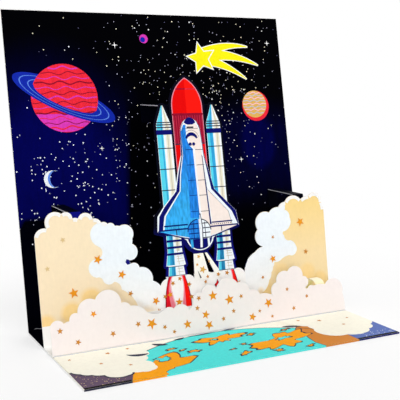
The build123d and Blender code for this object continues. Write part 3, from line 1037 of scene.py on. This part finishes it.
def print_clouds():
    """White inner clouds, white rims and orange stars on the two cloud layers."""
    rear = Printing("rear")
    left, right = cloud(REAR_LEFT), cloud(REAR_RIGHT)
    rim = bpy.context.scene.card_sizes.rim / MM
    inset = (0.0, 0.06)
    outer = lobes([(-39.3, 45.9, 0.18)] + left[7:]) - inset
    rear.shape("cloud_white", 1, np.concatenate([lobes(LEFT_BORDER), outer, [(-13.0, 0.5)]]))
    outer = lobes(right[:7] + [(47.0, 48.0, 0.0)]) - inset
    rear.shape("cloud_white", 1, np.concatenate([[(19.0, 0.5)], outer, lobes(RIGHT_BORDER)]))
    notch = [(-28.95, 30.1), (-28.4, 28.4), (-29.7, 28.1), (-30.5, 29.3), (-29.9, 30.4)]
    rear.shape("blue_margin", 3, notch)
    crest = lobes(cloud(REAR_MIDDLE))
    foot = [(crest[-1, 0], 0.5), (crest[0, 0], 0.5)]
    rear.shape("mist", 2, np.concatenate([crest - (0.0, 0.05), foot]))
    for cusps in (left[:8], right[6:]):
        for pair in zip(cusps, cusps[1:]):
            rear.line("paper", 3, lobes(pair), -0.04, rim)
    rear.stars(8, 0.4, FADED_STARS, "star_tan")
    rear.stars(8, 0.4, REAR_STARS)
    rear.piece("rear_cloud_print", "cloud_paper")
    front = Printing("front")
    front.stars(1, 0.7, FRONT_STARS)
    front.piece("front_cloud_print", "white_paper")


# Print of the shuttle

# Booster's half width at its heights: a cone, a straight body, a flared skirt and a nozzle
BOOSTER_HEIGHTS = np.array([92.3, 84.4, 31.5, 25.6, 25.55, 21.3])
BOOSTER_HALVES = np.array([0.35, 3.35, 3.35, 4.45, 3.3, 3.85])
SKIRT_TOP = 31.5

# Bands round a booster as (ink, low, high)
BOOSTER_BANDS = [
    ("line_ink", 82.9, 83.35), ("line_ink", 84.0, 84.45), ("line_ink", 85.0, 85.4),
    ("line_ink", 74.2, 74.55), ("line_ink", 65.5, 65.85), ("line_ink", 56.7, 57.05),
    ("line_ink", 47.9, 48.25), ("navy", 38.0, 38.9), ("navy", 35.3, 36.2), ("navy", 32.6, 33.5),
    ("navy", 29.9, 30.8), ("cloud_white", 25.3, 25.8), ("line_ink", 25.05, 25.3), ("line_ink", 21.3, 21.5),
]

# Borders of a flame's bands from left to right, at these heights
FLAME_HEIGHTS = (20.8, 16.7, 13.1, 10.3, 8.5, 6.5)
FLAME_EDGES = [
    (-4.05, -5.35, -6.0, -6.4, -6.5, -6.6), (-2.7, -4.2, -4.5, -4.0, -3.9, -3.8),
    (-2.2, -2.9, -2.8, -1.6, -1.3, -1.2), (1.9, 2.3, 2.0, 1.35, 1.0, 0.9),
    (2.5, 2.85, 2.95, 2.8, 3.0, 3.0), (3.6, 4.7, 5.35, 5.6, 5.55, 5.5),
]
LEAF = np.array([(10.1, 17.9), (10.75, 16.5), (10.2, 15.2), (9.1, 14.5), (8.6, 15.7), (9.5, 16.4)])
TRAIL_STARS = [(2.3, 28.2, 1), (1.3, 24.9, 0.8), (3.7, 22.6, 1.8), (7, 25.8, 0.7)]
FLAME_STARS = [
    (10.8, 19.8, 1.1), (15, 20, 1.2), (5.7, 19.4, 0.9), (4.5, 17.4, 0.9), (16.7, 14.9, 1.1),
    (20.4, 15, 1.3), (-3.2, 17.2, 1.2), (-18.8, 12.2, 1.8), (-7.3, 20, 1.1), (-10.6, 18.4, 1.2),
    (-14.6, 13.4, 1.1), (-12.2, 13.9, 1.4), (-8.5, 10.4, 1.9), (-2.6, 11.9, 1.2), (-17.9, 8, 1.1),
]

# Right edge of the orbiter's wing, the rows that its fields are drawn at, and the heights of its marks
WING = [
    (4.73, 81.2), (5.5, 71), (6.19, 68), (7.34, 63), (8.9, 56.2), (14.95, 49.8), (18.36, 46.2), (19.2, 40),
    (7.48, 36.3), (6.38, 35.5),
]
ROWS = np.array([84.0, 81.2, 78.5, 76.5, 75.0, 73.6, 71.0, 68.0, 63.0, 56.2, 49.8, 46.2, 40.4])
MARKS = (40.4, 46.2, 49.8, 56.2, 63.0, 68.0, 71.0, 81.2, 84.0)


def print_shuttle():
    """Tank, boosters, orbiter, flames and vapour on the rear layer."""
    rear = Printing("rear")
    print_tank(rear)
    for middle, deep in zip(BOOSTERS, ((0.30, 0.38), (0.20, 0.41))):
        print_booster(rear, middle, deep)
    print_flames(rear)
    print_orbiter(rear)
    rear.piece("shuttle_print", "cloud_paper")


def print_tank(rear):
    """Red nose in two tones over a ribbed crimson body; the nose is a bow on each side."""
    rear.aside = STACK
    half, foot, seam, shoulder, tip = 7.25, 60.5, 88.6, 92.0, 104.1
    body, crease = half - 0.3, -0.3
    nose = np.concatenate([bow((0.03, tip), (half, shoulder), 0.132, 14), [(half, shoulder), (half, seam)]])
    rear.band("crimson", 4, [seam, foot], -half, half)
    for x in np.arange(-6.6, 6.8, 1.1):
        rear.band("rib_red", 5, [88.0, 62.0], x - 0.16, x + 0.16)
    rear.band("red", 5.5, [75.6, foot], -body, body)
    rear.band("line_ink", 5.7, [76.1, 75.6], -body, body)
    for hand in (-1, 1):
        rear.band("rose", 6, [88.2, foot], hand * body, hand * half)
    rear.band("rose", 5, nose[:, 1], -nose[:, 0], nose[:, 0])
    inner, heights = np.maximum(nose[1:, 0] - 0.42, 0.0), nose[1:, 1] - 0.1
    rear.band("red", 6, heights, -inner, crease)
    rear.band("scarlet", 6, heights, crease, inner)
    ring = np.interp(99.1, heights[::-1], inner[::-1])
    rear.band("crimson", 7, [99.0, 99.5], -ring, crease)
    rear.band("rib_red", 7, [99.05, 99.4], crease, ring)
    rear.band("crimson", 7, [88.0, 88.9], -7.1, 7.1)


def booster_half(height):
    """Half width of a booster at a height."""
    return np.interp(height, BOOSTER_HEIGHTS[::-1], BOOSTER_HALVES[::-1])


def print_booster(rear, middle, deep):
    """White booster with a cyan side that has a deep stripe, ring lines, a navy band and a banded skirt.

    A tone lies between two shares of the width at each height.
    """
    rear.aside = middle
    skirt = np.stack([BOOSTER_HALVES, BOOSTER_HEIGHTS], -1)[BOOSTER_HEIGHTS <= SKIRT_TOP]
    rear.line("blue_margin", 8, skirt * (-1, 1), 0.0, 0.85)
    rear.line("blue_margin", 8, skirt, 0.85, 0.0)
    above_skirt = BOOSTER_HEIGHTS[BOOSTER_HEIGHTS >= SKIRT_TOP]
    for ink, one, other, level, rows in (
        ("cloud_white", 0.0, 1.0, 9, BOOSTER_HEIGHTS), ("cyan", 0.025, 0.44, 10, BOOSTER_HEIGHTS),
        ("azure", *deep, 11, BOOSTER_HEIGHTS), ("cream", 0.60, 0.87, 10, above_skirt),
        ("tan", 0.70, 0.76, 11, above_skirt),
    ):
        wide = booster_half(rows)
        rear.band(ink, level, rows, (2 * one - 1) * wide, (2 * other - 1) * wide)
    for rows in (np.array([40.0, SKIRT_TOP, 25.6]), np.array([25.3, 21.4])):
        wide = booster_half(rows)
        rear.band("azure", 11, rows, -0.62 * wide, -0.16 * wide)
        rear.band("tan", 11, rows, 0.30 * wide, 0.36 * wide)
    for height in (29.3, 28.3, 27.2, 24.2, 22.9):
        wide = booster_half(height)
        rear.band("tan", 12, [height + 0.1, height - 0.1], 0.15 * wide, 0.85 * wide)
    collar = booster_half(82.1) + 0.25
    rear.band("navy", 13, [82.1, 80.1], -collar, collar)
    for ink, low, high in BOOSTER_BANDS:
        wide = booster_half([high, low])
        rear.band(ink, 13, [high, low], -wide, wide)


def print_flames(rear):
    """Red flames with a white heart under the boosters, and pale vapour on the trails.

    A border is the cubic through its points; the right flame shows no left side.
    """
    rows = np.linspace(21.2, 6.5, 16)
    edges = [np.polyval(np.polyfit(FLAME_HEIGHTS, across, 3), rows) for across in FLAME_EDGES]
    far_left, band_left, heart_left, heart_right, band_right, far_right = edges
    for middle in BOOSTERS:
        rear.aside = middle
        rear.band("scarlet", 10, rows, band_right, far_right)
        rear.band("crimson", 11, rows, far_right - 0.35, far_right)
        rear.band("pink", 10, rows, heart_right, band_right)
        rear.band("rose_light", 11, rows, heart_right, heart_right + 0.3)
        rear.band("mist", 10, rows, heart_left, heart_right)
        if middle == BOOSTERS[0]:
            rear.band("flame", 10, rows, far_left, band_left)
            rear.band("crimson", 11, rows, far_left, far_left + 0.45)
            rear.band("pink", 10, rows, band_left, heart_left)
            rear.band("rose_light", 11, rows, heart_left - 0.5, heart_left)
    rear.aside = 0.0
    rear.fan("crimson", 11, LEAF)
    rear.fan("red", 12, LEAF.mean(0) + (LEAF - LEAF.mean(0)) * 0.62)
    rear.aside = STACK
    rear.band("vapour", 8.5, [29.5, 18.4], [-3.25, -3.79], [1.24, 3.74])
    rear.band("vapour", 8.5, [29.5, 18.4], [2.0, 6.85], [3.1, 10.2])
    rear.aside = 0.0
    rear.shape("sky_black", 9.5, [(1.2, 22.7), (2.2, 19.0), (2.85, 19.2)])
    rear.stars(14, 0.9, TRAIL_STARS, "amber")
    rear.stars(14, 0.9, FLAME_STARS)


def orbiter_right():
    """Right half of the orbiter's outline, from its nose to its engines, with a bow at each end."""
    nose = bow((0.03, 87.2), WING[0], 0.159)
    engines = bow(WING[-1], (0.03, 30.7), 0.16)
    return np.concatenate([nose, WING, engines[1:], [(0.03, 30.7)]])


def at_rows(halves):
    """Half widths at the orbiter's rows, from those at its marks."""
    return np.interp(ROWS, MARKS, halves)


def print_orbiter(rear):
    """Orbiter from above: blue left, shell-white right, navy leading edges, pods, fin and engines."""
    rear.aside = ORBITER
    half, heights = orbiter_right().T
    swell = np.interp(heights, (40.0, *MARKS[1:7]), [0.0, 0.3, 0.8, 0.7, 0.6, 0.3, 0.0])
    rear.band("cloud_white", 15, heights, -half - swell, half)
    middle = np.array([-2.0, -2.1, -2.1, -1.6, -0.9, 0.45, 0.4, 0.44, 0.51, 0.6, 0.73, 0.8, 0.9])
    left_edge = at_rows([18.6, 17.75, 15.2, 9.1, 7.45, 6.0, 5.1, 4.6, 3.3])
    left_inner = at_rows([16.7, 15.5, 12.7, 7.5, 6.65, 5.5, 4.7, 4.4, 3.1])
    right_edge = np.interp(ROWS, heights[::-1], half[::-1]) - 0.1
    right_inner = at_rows([18.7, 16.3, 13.1, 7.4, 6.37, 5.61, 5.15, 4.5, 3.2])
    blue_edge = at_rows([16.0, 14.7, 11.9, 7.0, 6.2, 5.1, 4.45, 4.4, 3.1])
    shell_edge = at_rows([16.0, 14.7, 11.39, 5.5, 4.97, 4.58, 4.35, 4.4, 3.1])
    rear.band("orbiter_blue", 16, ROWS, -blue_edge, middle)
    rear.band("shell", 16, ROWS, middle + 0.9, shell_edge)
    outline = np.linspace(84.7, 71.0, 16)
    wide = np.interp(outline, heights[::-1], half[::-1])
    for hand, edge, inner in ((-1, left_edge, left_inner), (1, right_edge, right_inner)):
        rear.band("navy", 17, ROWS[1:], hand * edge[1:], hand * inner[1:])
        rear.band("navy", 18, outline, hand * (wide - 0.06), hand * (wide - 0.30))
    rear.band("orbiter_deep", 17, [73.0, 60.0, 44.5], [-2.6, -3.1, -3.6], [0.4, 0.6, 0.8])
    rear.band("navy", 18, [70.5, 41.2], [4.3, 5.3], [4.6, 6.0])
    rear.band("line_ink", 18, ROWS[6:], shell_edge[6:] - 0.16, shell_edge[6:])
    rear.band("cloud_white", 18, [70.0, 41.2], [4.6, 6.0], [4.8, 6.4])
    for height in (73.4, 66.9, 60.4, 54.0, 47.2):
        rear.band("navy", 18, [height + 0.12, height - 0.12], -3.1, 0.5)
        rear.band("line_ink", 18, [height - 0.05, height - 0.27], 1.5, 5.2)
    print_nose(rear)
    print_wing_ends(rear)
    print_tail(rear)


def print_nose(rear):
    """Navy cap, vent strip, windows and brow on elliptic arches, and two ports."""
    cap = np.concatenate([bow((0.03, 87.15), (2.75, 84.75), 0.15, 6), [(2.75, 84.75), (1.15, 84.0)]])
    rear.band("navy", 17, cap[:, 1], -cap[:, 0], cap[:, 0])
    for hand in (-1, 1):
        rear.band("cloud_white", 18, [84.7, 84.0], hand * np.array([2.5, 1.5]), hand * np.array([2.9, 3.2]))
    rear.band("line_ink", 18, [83.15, 82.5], -1.6, 1.6)
    rear.band("line_ink", 18, [82.35, 82.2], -3.6, 3.6)
    arch = circle(np.linspace(np.radians(18), np.radians(162), 24))
    rear.field("navy", 19, ruled(arch * (3.0, 3.4), arch * (2.25, 1.9)) + (0.25, 77.3))
    for x in (-0.6, 1.0):
        rear.fan("navy", 19, disc((x, 75.7), 0.72, 14))
    rear.line("line_ink", 18, arch * (3.75, 4.3) + (0.15, 77.3), 0.06, 0.06)


def print_wing_ends(rear):
    """Hinge lines, elevons and their splits at the wings' trailing edges."""
    for hand, ink, dot in ((-1, "orbiter_blue", "cyan"), (1, "shell", "line_ink")):
        rear.band("navy", 18, [40.6, 40.0], hand * 4.0, hand * np.array([18.6, 18.9]))
        rear.band("navy", 18, [42.3, 41.75], hand * 5.2, hand * np.array([16.0, 16.1]))
        along = hand * np.arange(6.2, 16.2, 1.0)
        rear.dots(dot, 18, np.stack([along, np.full(len(along), 41.2)], -1), np.full(len(along), 0.24))
        top, low = np.array([(4.4, 40.0), (18.2, 40.0)]), np.array([(4.4, 36.4), (18.2, 39.8)])
        rear.field(ink, 17, ruled(top, low) * (hand, 1))
        rear.band("line_ink", 18, [40.0, 38.0], hand * 10.6 - 0.2, hand * 10.6 + 0.2)
        trailing = np.array([(18.9, 39.9), (7.4, 36.5), (5.0, 36.0)])
        rear.line("navy", 18, trailing * (hand, 1), 0.25, 0.25)


def print_tail(rear):
    """Twin pods with panel lines, the fin between them and the dark engine bay with its pale rim.

    The pods' top is half an ellipse, 5.4 wide to each side and 4.9 high.
    """
    wide, high, foot = 5.4, 4.9, 39.0
    bay = np.concatenate([[(5.6, 36.0)], bow((5.6, 35.4), (0.03, 31.2), 0.18), [(0.03, 31.2)]])
    rear.band("navy", 19, bay[:, 1], -bay[:, 0], bay[:, 0])
    rim = bow((6.1, 35.2), (0.0, 30.9), 0.17, 10)
    for hand, ink, end in ((-1, "orbiter_blue", 4.6), (1, "cloud_white", 4.4)):
        rear.line("cloud_white", 20, rim * (hand, 1), 0.13, 0.13)
        rear.band(ink, 20, [36.0, 32.0], hand * 3.4, hand * end)
    quarter = circle(np.linspace(np.pi, np.pi / 2, 12, endpoint=False)) * (wide, high) + (0.0, foot)
    for hand, ink, line in ((-1, "orbiter_deep", "navy"), (1, "cloud_white", "line_ink")):
        curve = quarter * (-hand, 1)
        rear.band(ink, 20, np.r_[curve[::-1, 1], 35.6], np.r_[curve[::-1, 0], hand * 5.0], 0.0)
        rear.line(line, 21, curve, 0.2, 0.2)
        for height in (42.0, 40.0, 38.0, 35.9):
            reach = 5.1 if height < foot else wide * np.sqrt(1 - ((height - foot) / high) ** 2)
            rear.band(line, 21, [height + 0.2, height - 0.2], hand * 0.3, hand * (reach - 0.1))
        rear.band(line, 21, [42.6, 36.0], hand * 2.7 - 0.15, hand * 2.7 + 0.15)
    rear.band("line_ink", 22, [46.2, 40.0, 31.9], [0.75, 0.65, 0.0], [1.15, 1.75, 1.15])
    rear.band("cloud_white", 23, [45.6, 40.0, 31.9], [0.6, 0.4, -0.3], [0.9, 1.35, 0.75])


# Stage


def set_camera(scene):
    """Camera from its place, heading, dip and roll."""
    sizes = scene.card_sizes
    a, e, r = sizes.heading, sizes.dip, sizes.roll
    back = Vector((np.sin(a) * np.cos(e), -np.cos(a) * np.cos(e), np.sin(e)))
    right = Vector((np.cos(a), np.sin(a), 0.0))
    up = back.cross(right)
    rolled_right = right * np.cos(r) + up * np.sin(r)
    rolled_up = up * np.cos(r) - right * np.sin(r)
    lens = bpy.data.cameras.new("camera")
    lens.sensor_fit = "HORIZONTAL"
    lens.sensor_width = 36.0
    lens.lens = sizes.lens
    lens.clip_start = 0.01
    camera = bpy.data.objects.new("camera", lens)
    turn = Matrix((rolled_right, rolled_up, back)).transposed()
    camera.matrix_world = Matrix.Translation(Vector(sizes.eye)) @ turn.to_4x4()
    scene.collection.objects.link(camera)
    scene.camera = camera


def seen(tree):
    """Whether a ray comes from the camera, straight or by way of gloss or glass."""
    path = tree.nodes.new("ShaderNodeLightPath").outputs
    bounced = greatest(tree, path["Is Glossy Ray"], path["Is Transmission Ray"])
    return greatest(tree, path["Is Camera Ray"], bounced)


def show(tree, share, lit, plain, end):
    """Shows one shader in place of another by a share."""
    mixed = node(tree, "ShaderNodeMixShader", [(0, share), (1, lit.outputs[0]), (2, plain.outputs[0])])
    plug(tree, tree.nodes[end].inputs["Surface"], mixed.outputs[0])


def set_floor(scene):
    """Pale floor that keeps the shadow near the card and goes to plain white away from it."""
    reach, drop = 4.0, -0.0002
    shadow_end, white_from, least = 0.085, 0.22, 0.6
    corners = [(-reach, -reach, drop), (reach, -reach, drop), (reach, reach, drop), (-reach, reach, drop)]
    mesh = bpy.data.meshes.new("floor")
    mesh.from_pydata(corners, [], [(0, 1, 2, 3)])
    made, tree, shader, place = new_material("pale_floor")
    shader.inputs["Base Color"].default_value = (0.97, 0.97, 0.97, 1.0)
    shader.inputs["Roughness"].default_value = 0.9
    shader.inputs["Specular IOR Level"].default_value = 0.0
    away = vector(tree, "LENGTH", place)["Value"]
    far = node(
        tree, "ShaderNodeMapRange", [("Value", away), (1, shadow_end), (2, white_from), (3, least)],
        interpolation_type="SMOOTHSTEP",
    )
    white = node(tree, "ShaderNodeEmission", [("Color", (1, 1, 1, 1)), ("Strength", 1.0)])
    show(tree, product(tree, seen(tree), far.outputs[0]), shader, white, "Material Output")
    mesh.materials.append(made)
    floor = bpy.data.objects.new("floor", mesh)
    scene.collection.objects.link(floor)


def lamp(scene, name, place, aim, size, energy):
    """Soft square lamp at a place, aimed at a point."""
    light = bpy.data.lights.new(name, "AREA")
    light.size = size
    light.energy = energy
    made = bpy.data.objects.new(name, light)
    made.location = place
    made.rotation_euler = (Vector(aim) - Vector(place)).to_track_quat("-Z", "Y").to_euler()
    scene.collection.objects.link(made)


def set_light(scene):
    """White surround for the camera, soft ambient light, a key light along the view and three lamps."""
    world = bpy.data.worlds.new("surround")
    world.use_nodes = True
    tree = world.node_tree
    ambient = tree.nodes["Background"]
    ambient.inputs["Color"].default_value = (1.0, 1.0, 1.0, 1.0)
    ambient.inputs["Strength"].default_value = 0.50
    white = node(tree, "ShaderNodeBackground", [("Color", (1, 1, 1, 1)), ("Strength", 1.0)])
    show(tree, seen(tree), ambient, white, "World Output")
    scene.world = world
    key = bpy.data.lights.new("key_lamp", "SUN")
    key.energy = 0.66
    key.angle = np.radians(14)
    made = bpy.data.objects.new("key_lamp", key)
    made.matrix_world = scene.camera.matrix_world
    scene.collection.objects.link(made)
    lamp(scene, "top_lamp", place=(0.05, -0.25, 0.85), aim=(0.0, -0.01, 0.0), size=0.45, energy=3.1)
    lamp(scene, "back_lamp", place=(0.30, 0.80, 0.45), aim=(0.0, 0.04, 0.06), size=0.50, energy=2.0)
    lamp(scene, "left_lamp", place=(-0.70, -0.40, 0.22), aim=(0.0, 0.0, 0.03), size=0.40, energy=0.4)


# Operators


class CARD_OT_papers(bpy.types.Operator):
    """Gives every sheet its paper and its fields of colour"""

    bl_idname = "card.papers"
    bl_label = "Finish the papers"

    def execute(self, context):
        for material, sheets in (
            (cover_material(), ["card_cover"]), (cloud_material(), ["rear_layer"]),
            (front_material(), ["front_layer"]), (strap_material(), ["bowed_strap"]),
            (strut_material(), ["left_strut", "right_strut", "shuttle_strut"]),
        ):
            for sheet in sheets:
                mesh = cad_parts[sheet].data
                mesh.materials.clear()
                mesh.materials.append(material)
        return {"FINISHED"}


class CARD_OT_sky(bpy.types.Operator):
    """Prints the stars and planets on the sky"""

    bl_idname = "card.sky"
    bl_label = "Print the sky"

    def execute(self, context):
        print_sky()
        return {"FINISHED"}


class CARD_OT_base(bpy.types.Operator):
    """Prints the globe and clouds on the base"""

    bl_idname = "card.base"
    bl_label = "Print the base"

    def execute(self, context):
        print_base()
        return {"FINISHED"}


class CARD_OT_clouds(bpy.types.Operator):
    """Prints the white clouds, rims and stars on both cloud layers"""

    bl_idname = "card.clouds"
    bl_label = "Print the clouds"

    def execute(self, context):
        print_clouds()
        return {"FINISHED"}


class CARD_OT_shuttle(bpy.types.Operator):
    """Prints the tank, boosters, orbiter and flames"""

    bl_idname = "card.shuttle"
    bl_label = "Print the shuttle"

    def execute(self, context):
        print_shuttle()
        return {"FINISHED"}


class CARD_OT_stage(bpy.types.Operator):
    """Sets the camera, the pale floor, the lamps and the white surround"""

    bl_idname = "card.stage"
    bl_label = "Set the stage"

    def execute(self, context):
        scene = context.scene
        scene.view_settings.view_transform = "Standard"
        set_camera(scene)
        set_floor(scene)
        set_light(scene)
        return {"FINISHED"}


class CARD_PT_panel(bpy.types.Panel):
    """Lists the steps and settings of the card"""

    bl_idname = "CARD_PT_panel"
    bl_label = "Pop-up card"
    bl_space_type = "VIEW_3D"
    bl_region_type = "UI"
    bl_category = "Card"

    def draw(self, context):
        for step in STEPS:
            self.layout.operator(step.bl_idname)
        for settings in (context.scene.card_sizes, context.scene.card_inks):
            for name in settings.__annotations__:
                self.layout.prop(settings, name)


STEPS = (CARD_OT_papers, CARD_OT_sky, CARD_OT_base, CARD_OT_clouds, CARD_OT_shuttle, CARD_OT_stage)
CLASSES = (CardInks, CardSizes, *STEPS, CARD_PT_panel)


def register():
    """Registers the classes and hangs the settings on the scene."""
    for made in CLASSES:
        bpy.utils.register_class(made)
    bpy.types.Scene.card_inks = bpy.props.PointerProperty(type=CardInks)
    bpy.types.Scene.card_sizes = bpy.props.PointerProperty(type=CardSizes)


def unregister():
    """Takes the settings and the classes away again."""
    del bpy.types.Scene.card_sizes
    del bpy.types.Scene.card_inks
    for made in reversed(CLASSES):
        bpy.utils.unregister_class(made)


def main():
    """Makes the card step by step."""
    register()
    bpy.ops.card.papers()
    bpy.ops.card.sky()
    bpy.ops.card.base()
    bpy.ops.card.clouds()
    bpy.ops.card.shuttle()
    bpy.ops.card.stage()


if __name__ == "__main__":
    main()
